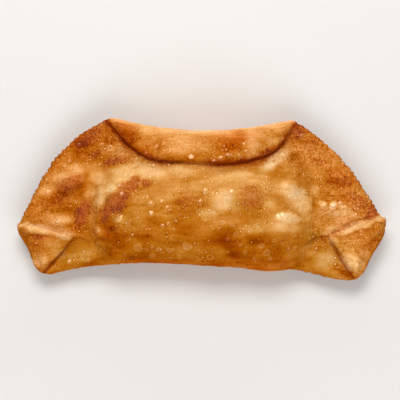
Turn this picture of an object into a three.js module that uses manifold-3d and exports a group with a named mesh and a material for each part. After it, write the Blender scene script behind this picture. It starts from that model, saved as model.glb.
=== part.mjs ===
// A deep-fried empanada: a disc of dough folded over its filling into a half-moon, with the crown of
// the half-moon folded forward and both corners folded in. It is one closed solid.
// Millimetres, +Z up. The origin is on the resting surface, under the middle of the outline.
// +X runs along the length and +Y from the plump front edge to the folded crown.

import * as THREE from "three";
import { LoftGeometry } from "three/addons/geometries/LoftGeometry.js";
import { mergeVertices } from "three/addons/utils/BufferGeometryUtils.js";
import Module from "manifold-3d";

const { lerp, smoothstep, clamp } = THREE.MathUtils;

// Driving heights and thicknesses
const SEAL_HEIGHT = 8; // resting surface to the middle of the sealed dough
const WING_RISE = 3.2; // sealed dough above its middle
const WING_DROP = 2.7; // sealed dough below its middle
const BELLY_RISE = 16; // filling above the sealed dough
const BELLY_DROP = 9; // filling below the sealed dough, flattened where it rests
const FOLD_RISE = 2.6; // extra thickness above the middle along a folded side
const FOLD_DROP = 1.2; // extra thickness below the middle along a folded side
const FOLD_WIDTH = 6; // how far that extra thickness reaches in from the fold
const CURL = 2; // lift of the sealed dough at the two ends
const WAVE = 0.7; // unevenness of the sealed dough
const WAVE_LENGTH = 52; // from one crest of that unevenness to the next
const REST_EASE = 1.4; // height over which the underside eases into its flat resting spot
const FLAP_SINK = 0.4; // depth of a flap's fold below the body's surface
const FLAP_ROOT = 2; // depth of a flap's underside, inside the body
const FLAP_RISE_SHARE = 0.3; // share of its width in which a flap comes up to its full thickness
const FLAP_FULL_WIDTH = 12; // a flap narrower than this swells less
const FACET_DROP = 1.9; // step from a wing down to the dough in front of it
const FACET_EASE = 0.9; // half the width of that step

// The filled belly: a dome that ends inside the wings and runs out over the front edge
const BELLY = {
  x: 1,
  y: -4.5,
  halfLength: 49,
  frontReach: 41,
  crownReach: 36,
  squareness: 2.4,
  fullness: 0.8,
};

// Outline corners, round the edge from the front left. The other values shape the side to the next corner:
// bow is how far its middle stands out, skew moves the deepest place along it, radius rounds its edge, and a
// folded side is thicker than a cut one.
const OUTLINE = [
  { name: "frontLeft", x: -71.2, y: -32.9, round: 5, bow: -6.4, skew: -23.8, radius: 6, folded: true },
  { name: "frontRight", x: 68.2, y: -35.9, round: 5, bow: -0.2, skew: 0, radius: 4.5, folded: true },
  { name: "right", x: 81.4, y: -12, round: 5, bow: 3.7, skew: 6, radius: 2.6, folded: false },
  { name: "crownRight", x: 41.4, y: 34.6, round: 3, bow: -5.1, skew: 0, radius: 5, folded: true },
  { name: "crownLeft", x: -41.8, y: 35.8, round: 3, bow: 5.6, skew: -7, radius: 2.6, folded: false },
  { name: "left", x: -81.5, y: -12.2, round: 5, bow: -0.8, skew: -4, radius: 4.5, folded: true },
];

const OUTLINE_HALF_LENGTH = Math.max(...OUTLINE.map((corner) => corner.x));

// The front edge is plumpest in the middle, where the filling pushes it out
const FRONT_PLUMP = { extraRadius: 8, halfWidth: 34 };

// The three flaps. A free edge has its ends at the outline's corners, and runs through the points of edge or
// comes to a tip. Two layers of dough give the thickness, puff is the swelling between the fold and the free
// edge, and inset is how far the fold lies inside the outline. A corner flap's hem, the side of its free edge
// that crosses the wing, bows out over the wing.
const CROWN_FLAP = {
  edge: [
    [-32.1, 23.8],
    [-21.9, 17.6],
    [-9, 16.3],
    [9.3, 15.3],
    [24.6, 18.1],
    [33.2, 22.3],
  ],
  inset: 1.2,
  thickness: 3.8,
  puff: 1.4,
  lip: 1.9,
};
const STRAIGHT = { bow: 0, skew: 0 };
const LEFT_FLAP = {
  tip: [-54.5, -16.8],
  sides: [STRAIGHT, { bow: 1.5, skew: 4 }],
  inset: 2.6,
  thickness: 3,
  puff: 0.8,
  lip: 1.5,
};
const RIGHT_FLAP = {
  tip: [55.2, -16.2],
  sides: [{ bow: 3.7, skew: -6.5 }, STRAIGHT],
  inset: 2.6,
  thickness: 3.2,
  puff: 0.8,
  lip: 1.6,
};

// Creases where a wing steps down to the dough in front of it, from the flap's tip towards the belly
const FACET_CREASES = [
  { from: [-55, -17.2], to: [-46, -18.6], fade: 8 },
  { from: [55, -16.4], to: [45.5, -20], fade: 8 },
];

// Lumps and blisters large enough to change the form
const LUMPS = [
  { x: -38.5, y: 0.5, length: 10, width: 5, turn: 1.05, rise: 1.8 },
  { x: -58.4, y: 7.5, length: 6, width: 4.6, turn: 0.5, rise: 2.4 },
  { x: -45.8, y: -15, length: 2.6, width: 2.2, turn: 0, rise: 1.3 },
  { x: 18.8, y: 1.2, length: 8, width: 6, turn: 0.4, rise: 0.9 },
  { x: 36.7, y: 5, length: 5.5, width: 4.5, turn: 0.6, rise: 1.3 },
  { x: 35.5, y: -9.5, length: 6.5, width: 3.6, turn: 0, rise: 1.4 },
  { x: 52.5, y: -4.8, length: 5, width: 4.2, turn: 0, rise: 1.2 },
  { x: -27, y: -9.5, length: 4, width: 3, turn: 0, rise: 0.9 },
  { x: 29, y: -27, length: 7, width: 5, turn: 0, rise: 1.4 },
  { x: 13, y: -24, length: 4, width: 6, turn: 0, rise: -1 },
];

// Mesh density
const STATIONS = 66; // cross-sections along the length
const ROWS = 25; // points from the front edge to the crown
const EDGE_CROWDING = 0.45; // share of the spacing that crowds towards the edges
const FLAP_STATIONS = 34; // cross-sections along a flap's fold
const FLAP_TOP = [0, 0.16, 0.34, 0.52, 0.7, 0.86]; // points over a flap, as shares of its width
const FLAP_LIP = [90, 58, 26, -6, -38]; // points round its lip, in degrees
const FLAP_UNDER = [0.8, 0.4, 0]; // points back underneath it, as shares of its width
const SIDE_SAMPLES = 60; // points along each side of the outline, for distances

const wasm = await Module();
wasm.setup();

// Outline

function bowedSide(from, to, bow, skew) {
  const along = to.clone().sub(from).normalize();
  const outward = new THREE.Vector2(along.y, -along.x);
  const control = from.clone().lerp(to, 0.5);
  control.addScaledVector(along, skew).addScaledVector(outward, 2 * bow);
  return new THREE.QuadraticBezierCurve(from, control, to);
}

function halves(curve) {
  const early = curve.v0.clone().lerp(curve.v1, 0.5);
  const late = curve.v1.clone().lerp(curve.v2, 0.5);
  const middle = early.clone().lerp(late, 0.5);
  return [
    new THREE.QuadraticBezierCurve(curve.v0, early, middle),
    new THREE.QuadraticBezierCurve(middle, late, curve.v2),
  ];
}

function path(...curves) {
  const joined = new THREE.CurvePath();
  curves.forEach((curve) => joined.add(curve));
  return joined;
}

// The rounded corners and the bowed sides between them, and from those the four runs round the outline, each
// from the middle of one rounded corner to the middle of another
function outlineCurves() {
  const at = (i) => {
    const corner = OUTLINE[(i + OUTLINE.length) % OUTLINE.length];
    return new THREE.Vector2(corner.x, corner.y);
  };
  const towards = (i, j) => {
    const step = at(j).sub(at(i)).setLength(OUTLINE[(i + OUTLINE.length) % OUTLINE.length].round);
    return at(i).add(step);
  };
  const rounded = OUTLINE.map((_, i) => {
    return new THREE.QuadraticBezierCurve(towards(i, i - 1), at(i), towards(i, i + 1));
  });
  const bowed = OUTLINE.map((corner, i) => {
    const next = rounded[(i + 1) % OUTLINE.length];
    return bowedSide(rounded[i].v2, next.v0, corner.bow, corner.skew);
  });
  const [frontLeft, frontRight, right, crownRight, crownLeft, left] = OUTLINE.keys();
  const into = (i) => halves(rounded[i])[0];
  const outOf = (i) => halves(rounded[i])[1];
  const runs = {
    front: path(outOf(frontLeft), bowed[frontLeft], into(frontRight)),
    right: path(outOf(frontRight), bowed[frontRight], rounded[right], bowed[right], into(crownRight)),
    crown: path(outOf(crownRight), bowed[crownRight], into(crownLeft)),
    left: path(outOf(crownLeft), bowed[crownLeft], rounded[left], bowed[left], into(frontLeft)),
  };
  return { rounded, bowed, runs };
}

const { rounded, bowed, runs } = outlineCurves();

// Points along each bowed side, and all the points round the outline
const sidePoints = bowed.map((side) => side.getPoints(SIDE_SAMPLES));
const rim = [...sidePoints.flat(), ...rounded.flatMap((corner) => corner.getPoints(SIDE_SAMPLES))];

function distanceToSide(i, x, y) {
  return Math.min(...sidePoints[i].map((point) => Math.hypot(point.x - x, point.y - y)));
}

// Radius of the rounded edge near a point, blended from side to side
function sideRadius({ x, y }) {
  let sum = 0;
  let weights = 0;
  OUTLINE.forEach((corner, i) => {
    const isFront = corner.name === "frontLeft";
    const plump = isFront ? FRONT_PLUMP.extraRadius * Math.exp(-((x / FRONT_PLUMP.halfWidth) ** 4)) : 0;
    const weight = 1 / (1 + distanceToSide(i, x, y)) ** 3;
    sum += weight * (corner.radius + plump);
    weights += weight;
  });
  return sum / weights;
}

const rimRadius = rim.map(sideRadius);

// Share of the full thickness at a point: 0 on the outline, 1 further in than the edge's radius
function edgeShare(x, y) {
  let nearest = Infinity;
  let radius = 1;
  rim.forEach((point, i) => {
    const distance = Math.hypot(point.x - x, point.y - y);
    if (distance < nearest) {
      nearest = distance;
      radius = rimRadius[i];
    }
  });
  const inwards = clamp(1 - nearest / radius, 0, 1);
  return Math.sqrt(1 - inwards * inwards);
}

// Surfaces of the body

function bellyShare(x, y) {
  const reach = y < BELLY.y ? BELLY.frontReach : BELLY.crownReach;
  const across = Math.abs(x - BELLY.x) / BELLY.halfLength;
  const deep = Math.abs(y - BELLY.y) / reach;
  const radius = (across ** BELLY.squareness + deep ** BELLY.squareness) ** (1 / BELLY.squareness);
  return (1 - Math.min(1, radius) ** BELLY.squareness) ** BELLY.fullness;
}

function lumpRise(x, y) {
  return LUMPS.reduce((sum, lump) => {
    const [dx, dy] = [x - lump.x, y - lump.y];
    const along = (dx * Math.cos(lump.turn) + dy * Math.sin(lump.turn)) / lump.length;
    const across = (dy * Math.cos(lump.turn) - dx * Math.sin(lump.turn)) / lump.width;
    return sum + lump.rise * Math.exp(-(along * along + across * across));
  }, 0);
}

// The dough in front of each wing lies lower than the wing, beyond a crease that fades into the belly
function facetDrop(x, y) {
  return FACET_CREASES.reduce((sum, crease) => {
    const outwards = Math.sign(crease.from[0]);
    const slope = (crease.to[1] - crease.from[1]) / (crease.to[0] - crease.from[0]);
    const creaseY = crease.from[1] + slope * (x - crease.from[0]);
    const inFront = smoothstep(creaseY - y, -FACET_EASE, FACET_EASE);
    const beside = smoothstep(outwards * (x - crease.to[0]), -crease.fade, 0);
    return sum + FACET_DROP * inFront * beside;
  }, 0);
}

// 1 on a folded side, fading inwards
function foldShare(x, y) {
  return OUTLINE.reduce((most, corner, i) => {
    const distance = corner.folded ? distanceToSide(i, x, y) : Infinity;
    return Math.max(most, Math.exp(-((distance / FOLD_WIDTH) ** 2)));
  }, 0);
}

// Height of the middle of the sealed dough, which is a little wavy and curls up at the two ends
function sealHeight(x, y) {
  const wave = Math.sin((2 * Math.PI * (x + y)) / WAVE_LENGTH) * Math.cos((2 * Math.PI * y) / WAVE_LENGTH);
  return SEAL_HEIGHT + WAVE * wave + CURL * (x / OUTLINE_HALF_LENGTH) ** 4;
}

// Height above the resting surface, eased so that the underside meets its flat spot without an edge
function eased(height) {
  if (height <= -REST_EASE) return 0;
  if (height >= REST_EASE) return height;
  return (height + REST_EASE) ** 2 / (4 * REST_EASE);
}

function bodyTop(x, y) {
  const dough = WING_RISE + FOLD_RISE * foldShare(x, y) - facetDrop(x, y);
  return sealHeight(x, y) + edgeShare(x, y) * (dough + BELLY_RISE * bellyShare(x, y) + lumpRise(x, y));
}

function bodyUnderside(x, y) {
  const dough = WING_DROP + FOLD_DROP * foldShare(x, y);
  return eased(sealHeight(x, y) - edgeShare(x, y) * (dough + BELLY_DROP * bellyShare(x, y)));
}

// A point of the plan: across runs from left to right, and back from the front edge to the crown
function planPoint(across, back) {
  const front = runs.front.getPoint(across);
  const crown = runs.crown.getPoint(1 - across);
  const left = runs.left.getPoint(1 - back);
  const right = runs.right.getPoint(back);
  const corner = {
    frontLeft: runs.front.getPoint(0),
    frontRight: runs.front.getPoint(1),
    crownLeft: runs.crown.getPoint(1),
    crownRight: runs.crown.getPoint(0),
  };
  const blend = (axis) =>
    lerp(front[axis], crown[axis], back) +
    lerp(left[axis], right[axis], across) -
    lerp(
      lerp(corner.frontLeft[axis], corner.frontRight[axis], across),
      lerp(corner.crownLeft[axis], corner.crownRight[axis], across),
      back,
    );
  return new THREE.Vector2(blend("x"), blend("y"));
}

// Even steps, crowded towards both ends so that the rounded edges get their facets
function crowded(i, count) {
  const even = i / count;
  return lerp(even, (1 - Math.cos(Math.PI * even)) / 2, EDGE_CROWDING);
}

function bodyGeometry() {
  const sections = [];
  for (let station = 0; station <= STATIONS; station++) {
    const across = crowded(station, STATIONS);
    const plan = Array.from({ length: ROWS + 1 }, (_, row) => planPoint(across, crowded(row, ROWS)));
    const isEnd = station === 0 || station === STATIONS;
    const point = (place, row, surface) => {
      const onEdge = isEnd || row === 0 || row === ROWS;
      const height = onEdge ? sealHeight : surface;
      return new THREE.Vector3(place.x, place.y, height(place.x, place.y));
    };
    const over = plan.map((place, row) => point(place, row, bodyTop));
    const under = plan.map((place, row) => point(place, row, bodyUnderside)).slice(1, -1);
    sections.push([...over.reverse(), ...under]);
  }
  return new LoftGeometry(sections);
}

// Flaps

// A flap lies on the body from its fold to its free edge, and the free edge is a rounded lip
function flapGeometry(fold, free, flap) {
  const sections = [];
  for (let station = 0; station <= FLAP_STATIONS; station++) {
    const along = station / FLAP_STATIONS;
    const start = fold.getPoint(along);
    const end = free.getPoint(along);
    const width = start.distanceTo(end);
    const thickness = Math.min(flap.thickness, width / 2);
    const lip = Math.min(flap.lip, thickness / 2);
    const isEnd = station === 0 || station === FLAP_STATIONS;
    const place = (distance, lift) => {
      if (isEnd) return new THREE.Vector3(start.x, start.y, bodyTop(start.x, start.y) - FLAP_SINK);
      const at = start.clone().lerp(end, distance / width);
      return new THREE.Vector3(at.x, at.y, bodyTop(at.x, at.y) + lift);
    };
    const crest = FLAP_TOP.map((share) => {
      const puff = flap.puff * Math.sin(Math.PI * share) * Math.min(1, width / FLAP_FULL_WIDTH);
      const lift = lerp(-FLAP_SINK, thickness, smoothstep(share, 0, FLAP_RISE_SHARE));
      return place(share * (width - lip), lift + puff);
    });
    const edge = FLAP_LIP.map((degrees) => {
      const angle = THREE.MathUtils.degToRad(degrees);
      return place(width - lip + lip * Math.cos(angle), thickness - lip + lip * Math.sin(angle));
    });
    const buried = FLAP_UNDER.map((share) => place(share * (width - lip), -FLAP_ROOT));
    sections.push([...crest, ...edge, ...buried]);
  }
  return new LoftGeometry(sections);
}

function crownFlap() {
  const inwards = new THREE.Vector2(0, -CROWN_FLAP.inset);
  const crown = runs.crown;
  const fold = { getPoint: (along) => crown.getPoint(1 - along).add(inwards) };
  const free = new THREE.SplineCurve([
    crown.getPoint(1).add(inwards),
    ...CROWN_FLAP.edge.map(([x, y]) => new THREE.Vector2(x, y)),
    crown.getPoint(0).add(inwards),
  ]);
  return flapGeometry(fold, free, CROWN_FLAP);
}

function cornerFlap(from, to, flap) {
  const point = new THREE.Vector2(...flap.tip);
  const [start, end] = [from, to].map((corner) => {
    const inwards = point.clone().sub(corner).setLength(flap.inset);
    return inwards.add(corner);
  });
  const [first, second] = flap.sides;
  const free = path(
    bowedSide(start, point, first.bow, first.skew),
    bowedSide(point, end, second.bow, second.skew),
  );
  return flapGeometry(new THREE.LineCurve(start, end), free, flap);
}

// Joining

function toSolid(geometry) {
  const bare = new THREE.BufferGeometry();
  bare.setAttribute("position", geometry.getAttribute("position")).setIndex(geometry.getIndex());
  const merged = mergeVertices(bare);
  const kept = [];
  for (let i = 0; i < merged.index.count; i += 3) {
    const [a, b, c] = [0, 1, 2].map((k) => merged.index.getX(i + k));
    if (a !== b && b !== c && c !== a) kept.push(a, b, c);
  }
  return new wasm.Manifold(
    new wasm.Mesh({
      numProp: 3,
      vertProperties: merged.attributes.position.array,
      triVerts: Uint32Array.from(kept),
    }),
  );
}

function toGeometry(solid) {
  const mesh = solid.getMesh();
  const geometry = new THREE.BufferGeometry();
  geometry.setAttribute("position", new THREE.BufferAttribute(mesh.vertProperties, mesh.numProp));
  geometry.setIndex(new THREE.BufferAttribute(mesh.triVerts, 1));
  geometry.computeVertexNormals();
  return geometry;
}

function cornerPoint(name) {
  const corner = OUTLINE.find((candidate) => candidate.name === name);
  return new THREE.Vector2(corner.x, corner.y);
}

const body = toSolid(bodyGeometry());
const flaps = [
  crownFlap(),
  cornerFlap(cornerPoint("frontLeft"), cornerPoint("left"), LEFT_FLAP),
  cornerFlap(cornerPoint("right"), cornerPoint("frontRight"), RIGHT_FLAP),
].map(toSolid);

const joined = flaps.reduce((whole, flap) => whole.add(flap), body);
// The outer shell alone, so that no pocket is sealed in under a flap
const outer = joined.decompose().reduce((most, shell) => (shell.volume() > most.volume() ? shell : most));

const geometry = toGeometry(outer);
geometry.computeBoundingBox();
const middle = geometry.boundingBox.getCenter(new THREE.Vector3());
geometry.translate(-middle.x, -middle.y, -geometry.boundingBox.min.z);

const crust = new THREE.MeshStandardMaterial({ color: 0xc78a3c, roughness: 0.5, metalness: 0 });
const empanada = new THREE.Mesh(geometry, crust);
empanada.name = "empanada";

const part = new THREE.Group();
part.add(empanada);

export default part;
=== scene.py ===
import bpy
import numpy as np
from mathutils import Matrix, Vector
from mathutils.kdtree import KDTree


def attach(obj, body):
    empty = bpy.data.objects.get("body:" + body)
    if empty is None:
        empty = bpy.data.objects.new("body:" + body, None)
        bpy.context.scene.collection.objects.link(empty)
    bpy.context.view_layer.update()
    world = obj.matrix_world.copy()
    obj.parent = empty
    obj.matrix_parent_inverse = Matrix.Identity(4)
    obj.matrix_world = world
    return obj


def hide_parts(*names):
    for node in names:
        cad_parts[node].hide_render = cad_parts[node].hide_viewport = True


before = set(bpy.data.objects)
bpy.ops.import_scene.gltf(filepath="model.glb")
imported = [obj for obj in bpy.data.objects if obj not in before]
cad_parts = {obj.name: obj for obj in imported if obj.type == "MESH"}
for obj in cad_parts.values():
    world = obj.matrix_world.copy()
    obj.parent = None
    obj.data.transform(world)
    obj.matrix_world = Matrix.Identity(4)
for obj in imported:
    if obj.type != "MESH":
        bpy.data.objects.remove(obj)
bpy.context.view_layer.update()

MM = 0.001

# Mesh of the crust: size of its facets, and the smoothing that keeps its volume
VOXEL = 0.54 * MM
SMOOTH_ROUNDS = 8
NO_SHRINK = (0.5, -0.52)

# Every place below is x, y in millimetres on the pastry seen from above, and heights are in millimetres too

# The two cut edges: one corner, the other, how far the middle stands out and its skew
LEFT_CUT = ((-41.8, 35.8), (-81.5, -12.2), 5.6, -7)
RIGHT_CUT = ((81.4, -12), (41.4, 34.6), 3.7, 6)
CUT_STEPS = 160
# Their teeth: pitch, length, how much both vary, and how far in they reach
TOOTH_PITCH = 2.5 * MM
TOOTH_MEAN = 0.62
TOOTH_LENGTH = 0.5
TOOTH_EVEN, TOOTH_UNEVEN = 0.7, 1.1
TOOTH_DRIFT = 0.7
TOOTH_REACH = 1.7 * MM
# The edge itself sways, and stands out a little all along
EDGE_SWAY = 0.6
EDGE_OUTSET = 0.2
# The rim inside the teeth, and the seam between the two layers of dough
RIM_REACH = 3.4 * MM
RIM_RISE = 0.3
RIM_PALE = 0.6
SEAM_REACH = 1.4 * MM
SEAM_SLOPE = 0.3
SEAM_DEPTH = 0.5

# How far the front edge stands forward or back, by x: the belly bulges, and ends in a step on the right
FRONT_SHIFT = ((-30, 0), (-12, -0.6), (0, -0.9), (9, -0.8), (15, -0.3), (24, -0.3), (31, 0), (35, 0.7),
               (38, 1.7), (48, 1.2), (56, 0.2), (62, 0))
FRONT_Y = -30
FRONT_REACH = 8

# Where the belly runs softly into the wings, above the sealed rim: x, y, half length, half width, turn
MELTED = [(-46, -1, 9, 17, 0), (49, -3, 9, 17, 0)]
MELT_ROUNDS = 90
MELT_SHARE = (0.5,)
MELT_EDGE = (1, 0.3)
SEAL = 8 * MM

# The lip of the crown flap, with the strength of the crease below it, and the flap's top edge
LIP = [
    (-42.2, 35, 0.7), (-40.1, 32.4, 0.8), (-37.1, 28.7, 0.7), (-34.6, 25.8, 0.65), (-32, 23.2, 0.8),
    (-29.6, 21.2, 0.55), (-27, 19.4, 0.45), (-21.9, 17.2, 0.6), (-17, 16.2, 0.95), (-11.3, 16, 0.45),
    (-6.1, 16, 0.25), (-1.3, 15.9, 0.35), (4.3, 15.4, 0.8), (9.2, 14.9, 0.95), (13.1, 15.2, 0.95),
    (19.5, 16.3, 0.9), (24.6, 17.7, 0.95), (27.5, 18.6, 0.85), (31.1, 20.3, 0.7), (34.1, 22.7, 0.6),
    (35.7, 25.2, 0.7), (37.8, 28.9, 0.5), (41.2, 33.5, 0.5),
]
CROWN_EDGE = [
    (-41.8, 35.4), (-31.3, 33.5), (-16.1, 30.8), (1.4, 30), (18.8, 31.3), (34.1, 33.2), (41.5, 34.1),
]
# Creases, with painted shade: points as x, y and strength, then half width, depth and how much painted shade
# they lay on the crust beside them
CREASES = [
    (LIP, 0.62, 0.2, 0.8),
    # Beside the left corner flap
    ([(-68.8, -32.2, 1), (-65.4, -28.2, 1), (-61.4, -23.9, 0.8), (-57.9, -19.3, 0.8),
      (-55.3, -16.7, 0.8), (-52.3, -16.9, 0.5), (-49.2, -18, 0.5)],
     0.46, 0.45, 0.1),
    # Beside the right corner flap
    ([(65.9, -34.3, 0.9), (63.3, -30.8, 1), (60.2, -26.1, 1), (57.6, -21.3, 0.8), (55.2, -16.9, 0.6)],
     0.58, 0.5, 0.2),
    # From the right corner flap's tip to the front
    ([(55, -16, 0.5), (51.5, -16.5, 0.7), (48, -17.8, 0.6), (44.5, -19.9, 0.2), (40.2, -24.3, 0),
      (37.5, -26.9, 0.15), (34.5, -30, 0.45)],
     0.5, 0.45, 0.2),
    # Above the right hem
    ([(75, -6.9, 0.1), (70.7, -9.3, 0.3), (62.8, -12.5, 0.5), (55.9, -15.4, 0.6)],
     0.36, 0.35, 0.1),
    # Above and below the left hem
    ([(-78.4, -10.4, 0.3), (-72.3, -11.2, 0.5), (-66.2, -12.8, 0.4), (-61, -14.7, 0.2)],
     0.36, 0.3, 0.1),
    ([(-77.6, -14.7, 0.3), (-72.3, -15.6, 0.35), (-66.2, -16.2, 0.2)],
     0.5, 0.3, 0.15),
    # The crack on the crown flap
    ([(-17.4, 26.3, 0.3), (-18.1, 23.2, 0.6), (-18.5, 21, 0.7), (-18.9, 18.9, 0.3)],
     0.3, 0.25, 0.1),
]
# How much wider than a crease its band of painted shade is
SHADE_SPREAD = 3.2
FRAY = 0.4 * MM
WEAK_WIDTH = 0.5
# Ridges, and valleys where the height is below zero: points as x, y and strength, then half width and height
RIDGES = [
    # The belly's left end, and the valley inside it
    ([(-42.2, 8.4, 0.3), (-43.8, 4.9, 0.8), (-44.6, -0.3, 1), (-45.1, -5.6, 1), (-45.5, -10.8, 0.8)],
     1.3, 0.35),
    ([(-40.5, 4, 0.3), (-42.2, -1.2, 0.9), (-43.1, -6.4, 0.9), (-42.7, -10.8, 0.5)],
     1.5, -0.4),
    # The rolls of the left and right hems
    ([(-79.7, -12.1, 1), (-72.8, -13, 1), (-67.1, -14.1, 0.7), (-61.9, -15.6, 0.2)],
     1.6, 1),
    ([(78.1, -9.5, 1), (74.2, -10.1, 1), (69.8, -11.9, 1), (62.4, -14.7, 0.9), (56.3, -16.9, 0.8)],
     1.7, 1),
    # The dips where the left and right wings begin
    ([(-48.8, 0.5, 0.4), (-50.5, -3.8, 1), (-51.8, -8.2, 0.8), (-51.4, -12.5, 0.3)],
     3.4, -0.8),
    ([(48.9, 0.5, 0.4), (49.3, -2.9, 0.9), (48.4, -7.3, 0.5)],
     1.4, -0.35),
    # The bulge before the step in the front edge
    ([(21, -29.1, 0.8), (27.5, -29.8, 1), (32.7, -29.1, 0.6)],
     2, 0.5),
    # The roll of the lip
    ([(-19.6, 18.6, 0.5), (-13, 17.8, 1), (-5.2, 17.3, 0.7)],
     1, 0.35),
]
# Lumps: x, y, half length, half width, turn in degrees, height
LUMPS = [
    (-56.6, 6.6, 7, 4.4, 32, 2.5), (-44.4, -14.7, 3.9, 2.4, -40, 1.5), (-53.1, 25, 3.1, 2.6, 30, 0.7),
    (37.5, 4.5, 5.7, 4.8, -25, 0.6), (38, -7.7, 6.1, 3.3, 0, 0.8), (9.2, -2.1, 3.9, 4.8, 0, 0.4),
    (-37.5, 0.1, 5.7, 4.4, 45, 0.7), (-39.2, 16.2, 4.8, 2.2, 15, 0.5), (19.7, 1.4, 6.5, 5.2, 0, 0.4),
    (57.2, -3.4, 5.7, 3.1, -10, 0.5), (-68.4, -1.2, 5.2, 2.2, 20, 0.5), (-35.7, -8.6, 2.8, 1.7, 20, 0.8),
    (57.6, 8, 5.2, 2.6, -30, 0.5), (21.4, 23.2, 4.4, 3.9, 20, 0.4), (10.1, -17.8, 4.4, 3.5, 0, 0.3),
    (-22.6, 12.3, 7.4, 3.1, 0, 0.3), (43.6, 26.3, 3.5, 2.6, -20, 0.5), (-61.9, -22.1, 3.9, 2.2, 30, 0.4),
    (48, -24.3, 4.4, 2.6, 20, 0.35), (77.7, -9.9, 3.5, 3.5, 0, 0.6), (64.1, -25.2, 3.1, 2.6, 0, 0.35),
]
# Round blisters: x, y, radius, height
BLISTERS = [
    (-21.8, -20.8, 0.96, 0.3), (-19.1, -22.1, 1.22, 0.4), (-17, -23.7, 0.96, 0.35),
    (-15.2, -21.7, 0.78, 0.25), (-13, -24.7, 0.96, 0.3), (-10.4, -25.6, 0.78, 0.25),
    (-22.4, -1.6, 1.74, 0.6), (-22.4, -5.8, 1.57, 0.55), (0.7, 4, 1.57, 0.6), (-1.5, -1.6, 1.48, 0.6),
    (-45.1, -13.4, 1.31, 0.25), (-35.7, -8.2, 1.83, 0.4), (38.4, -5.6, 1.48, 0.4),
    (33.6, -6.4, 1.31, 0.3), (-67.1, 2.7, 1.31, 0.3), (-34.4, 3.2, 1.74, 0.6),
    (-27.6, -21.3, 2.18, 0.45), (-6.5, -20.8, 2.35, 0.45), (-17.4, -12.1, 1.31, 0.3),
    (35.8, -6, 1.83, 0.5), (53.2, -2.1, 1.83, 0.55), (57.2, -3.8, 1.66, 0.55), (61.5, -4.7, 1.57, 0.45),
    (55.4, -6, 1.22, 0.35), (59.8, -2.5, 1.22, 0.35), (58.5, -6.6, 1.4, 0.45), (3.5, -25.2, 1.92, 0.3),
    (-21.8, -24.7, 1.74, 0.25), (-13.9, -22.6, 1.57, 0.25), (-1.5, -26.5, 1.57, 0.25),
    (28.4, -23.9, 1.74, 0.25), (26.2, -20.4, 1.4, 0.25), (41, -22.1, 1.31, 0.25),
    (44.1, 26.7, 1.48, 0.35), (41.5, 28, 1.31, 0.3), (-53.6, 22.8, 1.05, 0.3), (-44, 22.8, 1.22, 0.3),
    (-40.1, 21.5, 1.4, 0.25), (-14.8, -11.2, 1.13, 0.25), (8.8, -10.8, 1.22, 0.2),
    (11.4, -17.8, 1.13, 0.3), (15.3, -14.7, 1.31, 0.25), (21, -14.3, 1.4, 0.2),
    (16.6, -20.4, 1.13, 0.25), (31.9, -17.8, 1.22, 0.25), (-5.2, 18.4, 1.31, 0.2), (8.8, 18, 1.4, 0.25),
    (11.8, 18.9, 1.13, 0.2), (20.1, 25, 1.22, 0.25), (-49.7, -27.4, 1.22, 0.2),
    (-57.5, -26.5, 1.22, 0.2), (-32.2, -11.2, 1.31, 0.2), (1.8, 17.8, 0.78, 0.15),
    (5.3, 16.9, 0.87, 0.2), (17, 19.3, 1.13, 0.25), (19.7, 21, 0.78, 0.2), (22.7, 21, 1.4, 0.25),
    (18.8, 24.5, 0.96, 0.2), (21.4, 26.3, 0.78, 0.2), (24.9, 23.7, 1.13, 0.2),
    (-18.3, -22.1, 1.13, 0.25), (-10.4, -24.3, 1.22, 0.25), (-24.4, -22.1, 1.05, 0.25),
    (18.8, -23.4, 1.22, 0.25), (22.3, -26.1, 1.13, 0.25), (29.7, -26.1, 1.22, 0.25),
    (38.4, -21.3, 1.05, 0.25), (35.4, -19.5, 0.96, 0.2), (7.5, -13.4, 0.96, 0.2),
    (13.1, -11.7, 0.96, 0.2), (24.5, -12.5, 1.05, 0.2), (-23.9, 1.4, 0.96, 0.25),
    (-17.8, -0.8, 0.96, 0.2), (-15.7, -3.4, 1.05, 0.25), (-11.7, -8.6, 0.96, 0.2),
    (-30.9, -15.6, 1.05, 0.25), (13.1, 4, 0.96, 0.2), (26.2, -0.3, 0.96, 0.2), (27.9, 3.2, 0.87, 0.2),
    (-47.9, 2.7, 1.13, 0.2),
]
# Profile of a blister by share of its radius: how far it reaches, the sunken middle of a burst one, the
# middle and width of its pale ring and of the dark foot round it, and how uneven its outline is
BLISTER_REACH = 1.4
BURST = 0.55
RING = (0.75, 0.18)
FOOT = (1.15, 0.15)
RAGGED = 0.25
# Slope of crust that carries a placed blister, and how far round its place the crust's top is looked for
FACING_UP = 0.2
TOP_SEARCH = 0.9 * MM
# Small blisters all over: how many, radius, height by radius and how full, how sunken, how clear by height
SMALL_SEED = 41
SMALL_BLISTERS = 900
SMALL_RADIUS = (0.5, 1.2)
SMALL_STEEPNESS = 0.32
SMALL_FULLNESS = (0.4, 1.0)
SMALL_SUNKEN = (0.0, 0.0, 0.8)
SMALL_CLEARNESS = 1.5

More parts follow.
